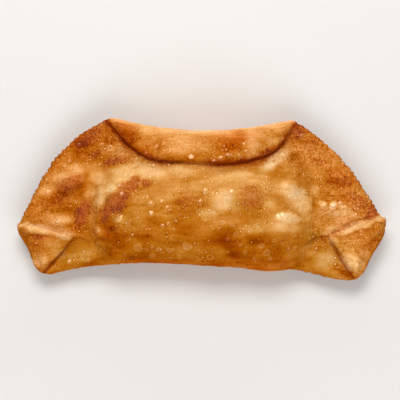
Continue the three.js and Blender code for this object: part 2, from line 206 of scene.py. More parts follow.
# Marks on the crust: x, y, half length, half width, turn in degrees, strength
BROWN = [
    (-36.6, -1, 5.2, 3.5, 45, 1.6), (-34.8, -2.5, 3.1, 2.6, 45, 1.1), (-30.9, 6.2, 4.4, 2.2, 25, 1.2),
    (-23.9, 6.6, 2.6, 1.7, 0, 1), (-41.8, -6, 2.2, 3.9, -30, 0.9), (-5.6, -0.3, 5.7, 2.4, 0, 0.5),
    (21, 1.2, 5.2, 4.1, 0, 0.8), (-56.6, 6.6, 4.8, 2.6, 34, 0.8), (-53.1, 25, 3.5, 3.1, 20, 0.35),
    (-47, 29.3, 6.1, 3.5, 40, 0.6), (-51, -5.6, 3.1, 6.1, -25, 0.9), (57.2, 8, 4.8, 3.5, -30, 0.25),
    (62.4, 7.5, 4.4, 3.5, -50, 0.35), (73.7, -5.1, 2.6, 3.5, -20, 1.2), (-41.4, 34.1, 3.1, 1.7, -45, 1),
    (41.9, 30.6, 3.5, 4.8, -25, 0.5), (-35.3, 31.1, 2.6, 1.5, -25, 0.4),
    (-30.9, 27.1, 3.1, 4.4, -30, 0.2), (-37.5, 16.2, 4.8, 1.7, 20, 1), (-45.3, 20.6, 3.5, 2.2, 30, 0.5),
    (-69.7, -2.1, 6.1, 3.5, 20, 0.25), (-71, -16.5, 2.2, 1.3, 0, 0.7), (52.4, -17.8, 1.7, 2.6, 15, 0.5),
    # Painted shade: (-22.6, 17.8) and (28.8, 20.6) darken the underside of the crown flap's lip
    (-22.6, 17.8, 6.5, 1, -14, 0.5), (28.8, 20.6, 4.4, 1, 25, 0.5), (36.7, -19.1, 5.2, 2.6, 10, 0.25),
    (67.2, 9.3, 1.7, 7, 38, 0.4), (68.1, -0.3, 3.5, 3.9, 40, 0.55), (50.6, 17.1, 6.1, 2.6, -40, 0.35),
    (-61, -0.3, 5.2, 2.2, 15, 0.35), (48, 24.5, 3.5, 4.4, -40, 0.4), (-59.3, 20.6, 2.2, 6.1, -42, 0.2),
]
AMBER = [
    (63.3, 0.1, 3.5, 2.6, 0, 0.5), (39.3, -28.2, 3.5, 1.7, 20, 0.45), (-37, -17.8, 9.6, 5.7, -30, 1.15),
    (-41.8, -13.4, 3.9, 5.7, 15, 1.5), (-27, -15.2, 6.5, 3.9, 0, 0.9), (-40.9, -22.1, 10.5, 3.5, 5, 1),
    (-21.8, -11.2, 4.4, 2.6, 0, 0.8), (-47.9, -27.4, 5.2, 2.2, 5, 0.6), (-18.3, -26.1, 6.1, 1.7, 0, 0.9),
    (10.1, -18.6, 5.7, 3.5, -20, 1.3), (13.6, -22.1, 3.5, 3.5, 5, 1.1), (25.3, -17.3, 6.1, 2.2, 0, 0.9),
    (23.6, -24.3, 11.3, 3.9, 0, 0.6), (34.1, -23, 6.1, 4.4, 30, 0.3), (24.5, -6, 6.1, 2.2, 0, 0.3),
    (-5.2, -9, 11.3, 3.9, 0, 0.3), (49.7, -2.1, 1.1, 3.9, 0, 0.6), (31.9, 12.3, 2, 4.4, -30, 0.7),
    # Painted shade: (-51.4, 4) darkens the right side of the left wing's big lump
    (59.3, 11.4, 7, 5.2, -50, 0.5), (-34, -2.9, 4.8, 3.5, 40, 1), (-51.4, 4, 2.2, 3.9, 20, 0.6),
    # Painted shade: (-61, 1.4) darkens the lower side of that lump, and (20.1, 14.9) the belly below the
    # crown flap's lip
    (-61, 1.4, 5.7, 1.7, 30, 0.6), (-40.9, 13.6, 3.5, 1.7, 20, 0.7), (20.1, 14.9, 7.8, 2.2, 14, 1),
    (13.1, 24.1, 7.4, 3.5, 0, 1), (16.6, 26.7, 4.8, 2.2, 0, 1.3), (-22.6, 23.7, 6.1, 3.1, 0, 0.35),
    # Painted shade: (-27.9, 21.9) and (30.6, 21.5) darken the crown flap's lip where it rolls under
    (-27.9, 21.9, 8.7, 2.2, -33, 0.9), (30.6, 21.5, 7.8, 1.3, 29, 0.4),
    (-31.3, 28.4, 5.7, 3.5, -40, 1.2), (7.9, 16.9, 5.7, 1.1, 0, 0.8), (-40.9, 27.1, 4.4, 2.2, 30, 0.3),
    (-53.1, 25, 4.4, 3.5, 20, 1.1), (40.2, 30.2, 2.6, 3.5, -25, 1.15), (61.1, -31.7, 4.8, 1.7, -25, 1.4),
]
PALE = [
    (-22.6, 11, 9.6, 3.5, 0, 0.8), (-33.1, 11, 6.1, 3.1, 15, 0.9), (-7.8, 11.9, 7.4, 2.6, 0, 0.9),
    (13.1, 9.7, 10.5, 3.1, 3, 0.35), (22.7, 7.1, 5.2, 1.7, 0, 0.5), (-38.3, 21.5, 5.7, 2.6, 20, 0.6),
    (-48.4, 2.3, 2.6, 3.9, 0, 0.85), (-45.3, 10.1, 3.5, 3.1, 0, 0.9), (-44, 1.9, 2.6, 5.2, -5, 1),
    # Painted highlight: (-57.9, 10.1) lightens the lit upper rim of the left wing's big lump
    (-57.9, 10.1, 7.4, 4.4, 30, 1.05), (-67.1, 3.6, 5.2, 2.6, 30, 0.8), (-71.9, -3.8, 2.6, 2.2, 0, 0.6),
    # Partly a painted highlight: (-72.3, -12.8) lightens the top of the left hem
    (-58.4, 18.4, 3.5, 2.6, 30, 0.5), (-72.3, -12.8, 8.7, 1.6, -7, 1.5), (-61.9, -8.2, 7, 2.6, -5, 0.8),
    (-60.6, -14.7, 5.2, 2.6, -10, 1.1), (-63.6, -22.6, 7, 5.2, -35, 0.55),
    (-70.2, -26.5, 3.5, 4.4, -40, 0.85), (-49.7, -23.4, 8.7, 3.5, 10, 0.75),
    (-44, -14.3, 2.6, 1.5, -35, 0.7), (8.8, -1.6, 5.2, 5.7, 0, 0.8), (3.1, -6.9, 4.4, 2.6, 0, 0.8),
    (13.6, -6, 5.7, 3.9, 0, 0.4), (9.6, -9, 7, 3.1, 0, 0.6), (-14.8, 1.4, 4.4, 3.5, 0, 0.45),
    (-5.6, -0.3, 5.7, 2.6, 0, 0.3), (19.7, 1, 6.1, 4.4, 0, 0.4), (20.5, -13, 7.8, 2.6, 5, 0.65),
    (28.8, -2.1, 3.5, 3.1, 0, 0.5), (-35.7, -8.6, 2.6, 1.7, 15, 0.6), (-38.8, 5.3, 3.9, 2.6, 30, 0.9),
    (33.2, 18, 7, 2.6, 30, 1.2), (39.3, 4, 5.7, 3.5, -20, 1.15), (44.5, -1.6, 4.4, 4.8, 0, 0.9),
    # Partly a painted glint: (53.2, -2.1) lightens a bubble in the cluster on the right wing
    (37.1, -9, 5.7, 2.6, 0, 1.3), (35.8, -13, 7, 2.6, 5, 0.9), (53.2, -2.1, 1.5, 1.5, 0, 1),
    # Partly painted glints: (57.6, -3.8) and (61.5, -4.7) lighten bubbles in that cluster
    (57.6, -3.8, 1.7, 1.5, 0, 1.1), (61.5, -4.7, 1.3, 1.3, 0, 0.7), (49.7, 3.6, 2.6, 3.1, 0, 0.6),
    # Partly a painted highlight: (69.8, -10.3) lightens the top of the right hem
    (45.4, 20.6, 6.1, 3.9, -30, 0.4), (44.5, -23, 5.7, 3.9, 25, 0.5), (69.8, -10.3, 9.6, 1.8, 19, 1.4),
    (63.3, -7.7, 6.5, 2.6, 12, 0.8), (58, -12.1, 6.1, 2.6, 15, 0.9), (56.7, -16.9, 2.6, 3.1, 0, 0.9),
    (65.4, -20.4, 6.1, 4.4, 0, 0.3), (64.6, -27.4, 5.2, 3.9, -30, 1.15), (70.7, -24.3, 2.6, 3.5, 0, 0.5),
    (54.5, -26.1, 6.1, 4.8, 30, 0.6), (60.2, 17.1, 2.6, 7, 40, 0.3), (21.4, 23.7, 3.5, 4.4, 15, 0.5),
    (-9.5, 22.3, 6.5, 3.9, 0, 0.65), (-23.9, 29.8, 4.8, 2.2, -10, 0.4), (30.6, 24.5, 3.9, 2.2, 25, 0.6),
    (38.8, 29.3, 2.2, 3.1, 0, 0.6), (-18.3, -26.1, 6.1, 1.7, 0, 0.5),
]
# Marks of paler, less red dough with painted shade over it
PALE_IN_SHADE = [
    (52.8, -26.5, 7, 4.4, 30, 1.2), (55, -6.4, 4.8, 2.6, 0, 0.7), (49.3, -16, 6.1, 3.1, 15, 1.2),
    (15.7, -2.5, 5.2, 2.6, 0, 1), (19.7, 1.4, 5.2, 3.9, 0, 0.6), (11.4, -0.3, 3.1, 3.5, 0, 0.8),
    (41.9, 4, 3.9, 3.5, 0, 0.7), (-54.5, -23.4, 7, 3.9, 8, 0.9), (-58.4, -16.9, 4.4, 2.2, -10, 0.7),
    (-64.5, -10.8, 4.4, 2.2, 0, 0.7), (-26.1, 16.2, 5.2, 2.2, -25, 0.9), (37.1, -9, 5.2, 1.7, 0, 0.25),
    (29.7, 16.2, 8.7, 3.1, 24, 0.5), (4.4, -4.7, 4.4, 3.5, 0, 0.5),
]

# Surface noise: size of its features, seed, octaves, and how much finer it is along x, y and z
EVEN = (1, 1, 1)
FIELDS = {
    "flow_x": (9, 41, 3, EVEN),
    "flow_y": (9, 42, 3, EVEN),
    "wrinkle": (7, 51, 3, (0.6, 1.4, 1)),
    "pebble": (1.9, 61, 2, EVEN),
    "fray_x": (3, 66, 2, EVEN),
    "fray_y": (3, 68, 2, EVEN),
    "ragged": (1.5, 70, 2, EVEN),
    "patchy": (17, 71, 3, EVEN),
    "streaky": (11, 81, 3, (0.5, 1.5, 1)),
    "tinged": (6, 86, 3, EVEN),
}
LATTICE = 48
LATTICE_OFFSET = 0.37
OCTAVE_SUM = 1.5
# Noise along the cut edges: size of its features and seed
EDGE_WANDER = (4.5, 91)
EDGE_UNEVEN = (3.1, 92)

WRINKLE_HEIGHT = 0.34
PEBBLE_HEIGHT = 0.14
# How far noise moves the outlines of lumps and of marks
LUMP_WANDER = 0.6 * MM
MARK_WANDER = 2 * MM
MARK_FADE, MARK_POWER = 0.8, 1.3

# How far each region is fried: the right wing, how much more the left wing, and runs down the belly by y and
# down the crown flap by share of its depth; both runs carry painted shade and light in part
RIGHT_WING = 0.57
LEFT_WING_MORE = 0.08
# The run down the belly is darker towards the front: partly more fried, partly painted shade
DOWN_BELLY = ((-28, 0.68), (-18, 0.66), (-10, 0.58), (0, 0.53), (7, 0.50), (14, 0.46))
# The run down the crown flap goes from a pale top edge to a dark lip: partly how far it is fried, partly
# painted light on the top edge and painted shade on the lip, which rolls under
DOWN_FLAP = ((0, 0.12), (0.2, 0.36), (0.55, 0.52), (0.8, 0.60), (1, 0.72))
# Where each region begins and is full: slope of the upper side, the belly, the facets below the corner
# flaps, the left wing, the belly's front, the crown flap, and the top that shines
UPPER = (-0.15, 0.25)
BELLY_X, BELLY_HALF, BELLY_POWER = 1, 52, 6
BELLY_TOP = (18, 13)
FACET_FRONT, FACET_ENDS = (-15, -20), (72, 60)
LEFT_SIDE = (-35, -50)
FRONT_EDGE, FRONT_ENDS = (-23, -28), (44, 34)
FLAP_LIP, FLAP_TURN, FLAP_HALF = (-0.3, 0.6), (-0.7, 0.2), 41
FLAP_LEAST_DEPTH = 1
SHINING = (0.55, 0.85)
# The underside, which is fried in patches: strength, and the noise from which they begin and are full
UNDER_BROWN = (0.8, 0.05, 0.6)
UNDER_AMBER = (0.7, 0, 0.5)
UNDER_PALE = (0.4, 0.15, 0.6)

# What each region, mark and noise adds to how far the crust is fried, how red it is and how grainy;
# at the belly's front the paleness and redness are painted light, a red bounce glow, and some marks are
# painted light and shade
FRIED_AND_PAINTED_LIGHT = {
    "amber": 0.20, "pale": -0.18, "patchy": 0.07, "streaky": 0.06, "front": -0.02, "foot": 0.08,
    "ring": -0.10, "cap": -0.06, "seam": 0.25, "cut_rim": -0.12,
}
RED = {
    "all": 0.36, "left": 0.16, "honey": -0.34, "patchy": 0.22, "tinged": 0.2, "amber": 0.6,
    "amber_honey": -0.25, "front": 1, "pale": -0.2, "facets": -0.25,
}
GRAINY = {"all": 1.2, "belly": -0.85, "left": -0.3, "flap": -0.5, "facets": -0.4}

# Colour of the crust by how far it is fried, from pale dough to scorched
RAMP = [
    (0.00, (252, 214, 158)), (0.15, (241, 188, 122)), (0.30, (226, 163, 90)), (0.45, (208, 140, 61)),
    (0.58, (191, 117, 29)), (0.72, (174, 94, 5)), (0.86, (148, 66, 1)), (1.00, (104, 35, 1)),
]
TOASTED = (194, 102, 56)
# Painted shade in the creases: a deep brown, and how much of it covers a crease's middle
CREASE_SHADE_COLOUR = (124, 36, 3)
CREASE_SHADE_COVER = 0.9
# Tints that multiply it: redness, a paler and less red tone with painted shade, and painted shade beside the
# creases
RED_TINT = (1.0, 0.70, 0.62, 1)
PALE_IN_SHADE_TINT = (1.0, 1.20, 1.75, 1)
SHADED = (0.48, 0.14, 0.02, 1)

# Fine textures: scale per metre, detail, roughness, distortion
TEXTURES = {
    "mottle": (85, 2, 0.5, 0.6),
    "streaks": (230, 2, 0.5, 0.4),
    "fine": (760, 3, 0.65, 0),
    "grit": (2100, 2, 0.6, 0),
    "crowd": (130, 2, 0.5, 0),
}
TEXTURE_MIDDLE = 0.5
STRETCHED = {"streaks": (0.35, 1.5, 1.0)}
# Tiny bubbles: cells per metre and radius as a share of a cell, the smallest radius as a share of the
# largest, where their dark rim begins and ends, and the share of cells that hold one, more where they crowd
# The pale tops of these bubbles are painted glints: fully on the dots, partly on the beads
BEADS = (330, 0.26)
DOTS = (800, 0.34)
SMALLEST_BUBBLE = 0.55
BUBBLE_RIM, BUBBLE_RIM_END = (0.75, 1.05), (1.1, 1.5)
CROWDED, CROWD_SHARE = (0.4, 0.62), (0.05, 0.6)

# How the textures break up toasted and pale marks, some of them painted shade and light, where such a mark
# begins and is full, and how it fades
TOASTED_BREAKUP = {"fine": 0.9, "grit": 0.6}
TOASTED_EDGE, TOASTED_FADE = (0, 0.9), (0.02, 0.3)
PALE_BREAKUP = {"mottle": 0.6, "fine": 0.6, "grit": 0.3}
PALE_EDGE, PALE_FADE = (0.15, 0.85), (0.02, 0.25)
# What textures, marks and bubbles add to how far the crust is fried, painted glints on the bubbles among it
GRAIN = {"fine": 0.65, "grit": 0.9}
TOASTED_GRAIN = 0.8
MOTTLING = {"mottle": 0.45, "streaks": 0.42}
FINE_FRIED_AND_PAINTED_LIGHT = {
    "toasted_and_painted_shade": 0.22, "blanched_and_painted_light": -0.17, "beads": -0.26, "bead_rims": 0.20, "dots": -0.52, "dot_rims": 0.20,
}
# Toasted crust is redder, and its own colour covers the low grains most
TOASTED_RED = 0.3
TOASTED_GRAINS, TOASTED_COVER = (-0.15, 0.15), (0.55, 0.2)

# Gloss: a dull crust, with oil on the bubbles
ROUGH_TEXTURE, ROUGHNESS = (0.3, 0.7), (0.42, 0.6)
OILED = {"cap": 1, "beads": 0.5, "dots": 0.3}
OIL_RANGE = (0.05, 0.85)
OIL_ROUGHNESS = 0.11
OIL_IOR = 1.65
# Bump: height of each texture
BUMP_STRENGTH = 0.9
BUMP_DISTANCE = 0.45 * MM
BUMP_DOMES = {"beads": 0.4, "dots": 0.15}
BUMP_CRUST = {"fine": 0.6, "grit": 0.22}

# Studio, in metres: the floor, the sky, and lights as name, place, width, depth, watts, colour and whether
# they only make glints
FLOOR_SIZE = 4
FLOOR_COLOUR = (0.80, 0.79, 0.77, 1)
FLOOR_ROUGHNESS = 0.7
WHITE = (1.0, 1.0, 1.0)
WARM = (1.0, 0.76, 0.52)
LIGHTS = [
    ("key", (-0.05, 0.46, 0.68), 0.42, 0.30, 4.1, WHITE, False),
    ("glint", (-0.12, 0.42, 0.68), 0.66, 0.50, 9.0, WARM, True),
    ("rim", (0.05, 0.80, 0.22), 0.80, 0.20, 1.6, WHITE, False),
    ("fill", (0.06, -0.55, 0.55), 0.70, 0.50, 3.0, WHITE, False),
    ("front", (0.0, -0.80, 0.15), 0.80, 0.20, 0.8, WHITE, False),
]
SKY = (1.0, 0.985, 0.96, 1)
SKY_STRENGTH = 0.26

# Camera: straight down, with the crown at the top of the picture
CAMERA = Vector((-0.8, -0.3, 1000)) * MM
EDGE_HEIGHT = 8 * MM
VIEW_WIDTH = 174.4 * MM
SENSOR = 36

# Noise


def noise(points, size, seed):
    """Smooth noise from -1 to 1 with features about size metres across."""
    grid = np.random.default_rng(seed).uniform(-1, 1, (LATTICE,) * 3)
    cell = points / size + LATTICE_OFFSET
    low = np.floor(cell).astype(int)
    t = cell - low
    t = t * t * t * (t * (t * 6 - 15) + 10)
    total = np.zeros(len(points))
    for corner in np.ndindex(2, 2, 2):
        weight = np.prod(np.where(corner, t, 1 - t), axis=1)
        i, j, k = ((low + corner) % LATTICE).T
        total += weight * grid[i, j, k]
    return total


def field(name, points):
    """A named noise on the surface, with finer noise added in octaves."""
    size, seed, octaves, stretch = FIELDS[name]
    spread = points * stretch
    total = sum(noise(spread, size * MM / 2**n, seed + n) / 2**n for n in range(octaves))
    return total / OCTAVE_SUM


def along_noise(along, size, seed):
    """Noise by distance along an edge."""
    return noise(np.stack([along, along * 0, along * 0], 1), size * MM, seed)


# Curves of one number


def smoothstep(x, low, high):
    t = np.clip((x - low) / (high - low), 0, 1)
    return t * t * (3 - 2 * t)


def band(x, middle, width):
    """1 at the middle, fading out on both sides."""
    return np.exp(-(((x - middle) / width) ** 2))


def run(x, stops):
    """A value that runs evenly from stop to stop."""
    return np.interp(x, *zip(*stops))


# Mesh


def remeshed(source, name):
    piece = bpy.data.objects.new(name, source.data.copy())
    bpy.context.scene.collection.objects.link(piece)
    remesh = piece.modifiers.new("remesh", "REMESH")
    remesh.mode = "VOXEL"
    remesh.voxel_size = VOXEL
    depsgraph = bpy.context.evaluated_depsgraph_get()
    fine = bpy.data.meshes.new_from_object(piece.evaluated_get(depsgraph))
    piece.modifiers.clear()
    piece.data = fine
    fine.name = name
    return piece


def positions(mesh):
    values = np.empty(len(mesh.vertices) * 3, np.float32)
    mesh.vertices.foreach_get("co", values)
    return values.reshape(-1, 3).astype(float)


def edge_pairs(mesh):
    pairs = np.empty(len(mesh.edges) * 2, np.int32)
    mesh.edges.foreach_get("vertices", pairs)
    return pairs.reshape(-1, 2)


def relaxed(points, pairs, rounds, shares):
    """Points drawn to the middle of their neighbours, by each share in turn."""
    a, b = pairs.T
    count = np.bincount(pairs.ravel(), minlength=len(points))[:, None]
    points = points.copy()
    for share in shares * rounds:
        columns = [
            np.bincount(a, points[b, k], len(points)) + np.bincount(b, points[a, k], len(points))
            for k in range(3)
        ]
        points += share * (np.stack(columns, 1) / count - points)
    return points


def put(mesh, points):
    mesh.vertices.foreach_set("co", points.astype(np.float32).ravel())
    mesh.update()


def normals_of(mesh):
    values = np.empty(len(mesh.vertices) * 3, np.float32)
    mesh.vertex_normals.foreach_get("vector", values)
    return values.reshape(-1, 3).astype(float)


def tree_of(points):
    tree = KDTree(len(points))
    for i, point in enumerate(points):
        tree.insert(point, i)
    tree.balance()
    return tree


# Plan curves and ovals


def cut_edge(start, end, bow, skew):
    """Points along a bowed line from corner to corner."""
    a, c = np.array(start) * MM, np.array(end) * MM
    along = (c - a) / np.linalg.norm(c - a)
    outward = np.array((along[1], -along[0]))
    b = (a + c) / 2 + along * skew * MM + outward * 2 * bow * MM
    t = np.linspace(0, 1, CUT_STEPS)[:, None]
    return (1 - t) ** 2 * a + 2 * t * (1 - t) * b + t * t * c


def nearest_on(line, xy):
    """Distance in plan to a run of straight pieces, and how far along the run the nearest point is."""
    best = np.full(len(xy), np.inf)
    along = np.zeros(len(xy))
    done = 0.0
    for a, b in zip(line[:-1], line[1:]):
        ab = b - a
        length = np.linalg.norm(ab)
        t = np.clip(((xy - a) @ ab) / length**2, 0, 1)
        gap = np.linalg.norm(xy - a - t[:, None] * ab, axis=1)
        closer = gap < best
        best[closer] = gap[closer]
        along[closer] = done + t[closer] * length
        done += length
    return best, along


def line_share(stops, width, xy):
    """Strength at each point of a crease or ridge that runs through stops, narrower where it is weak."""
    line = np.array([(x, y) for x, y, _ in stops]) * MM
    gap, along = nearest_on(line, xy)
    reached = np.concatenate([[0], np.cumsum(np.linalg.norm(np.diff(line, axis=0), axis=1))])
    strength = np.interp(along, reached, [s for _, _, s in stops])
    narrowed = width * MM * (WEAK_WIDTH + (1 - WEAK_WIDTH) * strength)
    return strength * band(gap, 0, narrowed)


def oval_reach(x, y, length, width, turn, xy):
    """Squared distance from the middle of an oval, 1 at its rim."""
    dx, dy = (xy / MM - (x, y)).T
    c, s = np.cos(np.radians(turn)), np.sin(np.radians(turn))
    return ((dx * c + dy * s) / length) ** 2 + ((dy * c - dx * s) / width) ** 2


# Crust: the solid's own surface, finely meshed and softened

pastry = remeshed(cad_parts["empanada"], "pastry")
mesh = pastry.data
pairs = edge_pairs(mesh)
points = relaxed(positions(mesh), pairs, SMOOTH_ROUNDS, NO_SHRINK)
melted = relaxed(points, pairs, MELT_ROUNDS, MELT_SHARE)
for oval in MELTED:
    inside = smoothstep(oval_reach(*oval, points[:, :2]), *MELT_EDGE)
    points += (inside * (points[:, 2] > SEAL))[:, None] * (melted - points)
put(mesh, points)
normals = normals_of(mesh)
up = normals[:, 2]
upper = smoothstep(up, *UPPER)
under = 1 - upper
xy = points[:, :2].copy()
x_mm, y_mm = xy.T / MM
across = np.abs(x_mm)

# Relief along the normal: wrinkles and lumps

flow = np.stack([field("flow_x", points), field("flow_y", points)], 1)
rise = WRINKLE_HEIGHT * field("wrinkle", points) + PEBBLE_HEIGHT * field("pebble", points)
for *oval, height in LUMPS:
    inside = np.clip(1 - oval_reach(*oval, xy + LUMP_WANDER * flow), 0, None)
    rise += height * inside * upper

# Blisters

tree = tree_of(points)
ragged = 1 + RAGGED * field("ragged", points)
cap, ring, foot = np.zeros((3, len(points)))
facing_up = np.where(up > FACING_UP)[0]
plan_tree = tree_of(np.concatenate([xy[facing_up], np.zeros((len(facing_up), 1))], 1))


def swell(centre, radius, height, sunken, clear):
    """A blister: a low dome, sunken in the middle where it has burst, and clear where its skin is thin."""
    for _, i, gap in tree.find_range(centre, radius * BLISTER_REACH):
        share = gap / radius * ragged[i]
        dome = max(0.0, 1 - share * share)
        rise[i] += height * (dome - sunken * max(0.0, 1 - (share / BURST) ** 2))
        cap[i] = max(cap[i], dome * clear)
        ring[i] = max(ring[i], band(share, *RING) * clear)
        foot[i] = max(foot[i], band(share, *FOOT) * clear)


def on_top(x, y):
    """The highest point of the crust near a place in plan."""
    found = [facing_up[n] for _, n, _ in plan_tree.find_range((x, y, 0), TOP_SEARCH)]
    return points[max(found, key=lambda i: points[i, 2])]


for x, y, radius, height in BLISTERS:
    swell(on_top(x * MM, y * MM), radius * MM, height, sunken=0.0, clear=1.0)

rng = np.random.default_rng(SMALL_SEED)
for i in rng.choice(len(points), SMALL_BLISTERS, replace=False):
    radius = rng.uniform(*SMALL_RADIUS)
    height = SMALL_STEEPNESS * radius * rng.uniform(*SMALL_FULLNESS)
    swell(points[i], radius * MM, height, rng.choice(SMALL_SUNKEN), SMALL_CLEARNESS * height)

# Creases and ridges

# Painted shade along the creases: a dark middle, and a wider band of shade beside it
crease_shade, shade = np.zeros((2, len(points)))
frayed = xy + FRAY * np.stack([field("fray_x", points), field("fray_y", points)], 1)
for stops, width, depth, shading in CREASES:
    share = line_share(stops, width, frayed) * upper
    crease_shade = np.maximum(crease_shade, share)
    shade = np.maximum(shade, shading * line_share(stops, SHADE_SPREAD * width, frayed) * upper)
    rise -= depth * share
for stops, width, height in RIDGES:
    rise += height * line_share(stops, width, xy) * upper

# Ragged cut edges, with the seam between the two layers of dough

shift = np.zeros_like(points)
seam, cut_rim = np.zeros((2, len(points)))
for cut in (LEFT_CUT, RIGHT_CUT):
    line = cut_edge(*cut)
    gap, along = nearest_on(line, xy)
    wander = along_noise(along, *EDGE_WANDER)
    uneven = TOOTH_EVEN + TOOTH_UNEVEN * along_noise(along, *EDGE_UNEVEN)
    tooth = np.abs(np.sin(np.pi * (along / TOOTH_PITCH + TOOTH_DRIFT * wander))) - TOOTH_MEAN
    outward = TOOTH_LENGTH * tooth * uneven + EDGE_SWAY * wander + EDGE_OUTSET
    middle = (line[0] + line[-1]) / 2
    away = middle / np.linalg.norm(middle)
    shift[:, :2] += (band(gap, 0, TOOTH_REACH) * outward * MM)[:, None] * away
    rim = band(gap, 0, RIM_REACH)
    rise += RIM_RISE * rim * tooth
    cut_rim = np.maximum(cut_rim, rim * (RIM_PALE + tooth))
    seam = np.maximum(seam, band(gap, 0, SEAM_REACH) * band(up, 0, SEAM_SLOPE))
rise -= SEAM_DEPTH * seam

shift[:, 1] += run(x_mm, FRONT_SHIFT) * MM * band(y_mm, FRONT_Y, FRONT_REACH)
points += shift + normals * (rise * MM)[:, None]
points[:, 2] = np.maximum(points[:, 2], 0)
put(mesh, points)
mesh.polygons.foreach_set("use_smooth", np.ones(len(mesh.polygons), bool))

# How far the crust is fried, with painted light and shade laid into it


def marked(marks):
    """Strength of a set of marks, with wandering edges."""
    warped = xy + MARK_WANDER * flow
    total = np.zeros(len(points))
    for *oval, strength in marks:
        faded = np.exp(-MARK_FADE * oval_reach(*oval, warped) ** MARK_POWER)
        total = np.maximum(total, strength * faded)
    return total


def under_patches(values, strength, low, high):
    """Patches on the underside, where a noise is high."""
    return strength * under * smoothstep(values, low, high)


patchy, streaky, tinged = (field(name, points) for name in ("patchy", "streaky", "tinged"))
brown = marked(BROWN) * upper + under_patches(patchy, *UNDER_BROWN)
amber = marked(AMBER) * upper + under_patches(-streaky, *UNDER_AMBER)
pale = marked(PALE) * upper + under_patches(streaky, *UNDER_PALE)
# Paler, less red dough with painted shade, on the upper side
pale_in_shade = np.minimum(marked(PALE_IN_SHADE) * upper, 1)

belly = np.exp(-((np.abs(x_mm - BELLY_X) / BELLY_HALF) ** BELLY_POWER)) * smoothstep(y_mm, *BELLY_TOP)
facets = smoothstep(y_mm, *FACET_FRONT) * smoothstep(across, *FACET_ENDS)
honey = np.maximum(belly, facets) * upper
left = smoothstep(x_mm, *LEFT_SIDE)
# The belly's front edge, which takes painted light: a red tint for red bounce light, and a little paleness
front = smoothstep(y_mm, *FRONT_EDGE) * smoothstep(across, *FRONT_ENDS) * belly * upper
lip_at = run(x_mm, [(x, y) for x, y, _ in LIP])
edge_at = run(x_mm, CROWN_EDGE)
flap = smoothstep(y_mm - lip_at, *FLAP_LIP) * (across < FLAP_HALF) * smoothstep(up, *FLAP_TURN)
down_flap = np.clip((edge_at - y_mm) / np.maximum(edge_at - lip_at, FLAP_LEAST_DEPTH), 0, 1)

ground = RIGHT_WING + LEFT_WING_MORE * left
# Runs down the belly and the crown flap, partly painted shade and light
ground += belly * (run(y_mm, DOWN_BELLY) - ground)
ground += flap * (run(down_flap, DOWN_FLAP) - ground)

shares = {
    "all": 1, "left": left, "belly": belly * upper, "facets": facets, "honey": honey, "front": front,
    "flap": flap, "amber": amber, "amber_honey": amber * honey, "pale": pale, "patchy": patchy,
    "streaky": streaky, "tinged": tinged, "cap": cap, "ring": ring, "foot": foot, "seam": seam,
    "cut_rim": cut_rim,
}


def weighed(weights):
    return sum(weight * shares[name] for name, weight in weights.items())


# done holds how far the crust is fried with painted light and shade laid in: the front's paleness, the runs
# down the belly and crown flap, and some marks
attributes = {
    "done": ground + weighed(FRIED_AND_PAINTED_LIGHT), "red": weighed(RED), "grain": weighed(GRAINY), "brown": brown,
    "pale": pale, "pale_in_shade": pale_in_shade, "crease_shade": crease_shade, "shade": shade, "cap": cap,
    "sheen": smoothstep(up, *SHINING),
}
for name, values in attributes.items():
    mesh.attributes.new(name, "FLOAT", "POINT").data.foreach_set("value", values.astype(np.float32))

# Material


def srgb(r, g, b):
    share = np.array((r, g, b)) / 255
    linear = np.where(share <= 0.04045, share / 12.92, ((share + 0.055) / 1.055) ** 2.4)
    return (*linear, 1.0)


material = bpy.data.materials.new("crust")
material.use_nodes = True
nodes = material.node_tree.nodes
links = material.node_tree.links
shader = nodes["Principled BSDF"]
coordinates = nodes.new("ShaderNodeTexCoord").outputs["Object"]


def give(socket, value):
    if isinstance(value, bpy.types.NodeSocket):
        links.new(value, socket)
    else:
        socket.default_value = value


def attribute(name):
    node = nodes.new("ShaderNodeAttribute")
    node.attribute_name = name
    return node.outputs["Fac"]


def stretched(scale):
    node = nodes.new("ShaderNodeMapping")
    node.inputs["Scale"].default_value = scale
    links.new(coordinates, node.inputs["Vector"])
    return node.outputs["Vector"]


def noise_texture(name):
    node = nodes.new("ShaderNodeTexNoise")
    vector = stretched(STRETCHED[name]) if name in STRETCHED else coordinates
    links.new(vector, node.inputs["Vector"])
    for socket, value in zip(("Scale", "Detail", "Roughness", "Distortion"), TEXTURES[name]):
        node.inputs[socket].default_value = value
    return node.outputs["Fac"]


def maths(operation, a, b, clamp=False):
    node = nodes.new("ShaderNodeMath")
    node.operation = operation
    node.use_clamp = clamp
    give(node.inputs[0], a)
    give(node.inputs[1], b)
    return node.outputs["Value"]


def times(a, b):
    return maths("MULTIPLY", a, b)


def total(*values):
    result = values[0]
    for value in values[1:]:
        result = maths("ADD", result, value)
    return result


def scaled(sockets, weights):
    """Sockets by name, each times its weight."""
    return [times(sockets[name], weight) for name, weight in weights.items()]


def swings(weights):
    """How far each texture is from its middle, times its weight."""
    return [
        times(maths("SUBTRACT", textures[name], TEXTURE_MIDDLE), weight) for name, weight in weights.items()
    ]


def fitted(value, low, high, to_low=0, to_high=1):
    node = nodes.new("ShaderNodeMapRange")
    node.interpolation_type = "SMOOTHSTEP"
    links.new(value, node.inputs["Value"])
    for name, number in (("From Min", low), ("From Max", high), ("To Min", to_low), ("To Max", to_high)):
        node.inputs[name].default_value = number
    return node.outputs["Result"]


def mixed(share, below, above, blend="MIX"):
    node = nodes.new("ShaderNodeMix")
    node.data_type = "RGBA"
    node.blend_type = blend
    links.new(share, node.inputs["Factor"])
    colours = [socket for socket in node.inputs if socket.type == "RGBA"]
    give(colours[0], below)
    give(colours[1], above)
    return next(socket for socket in node.outputs if socket.type == "RGBA")


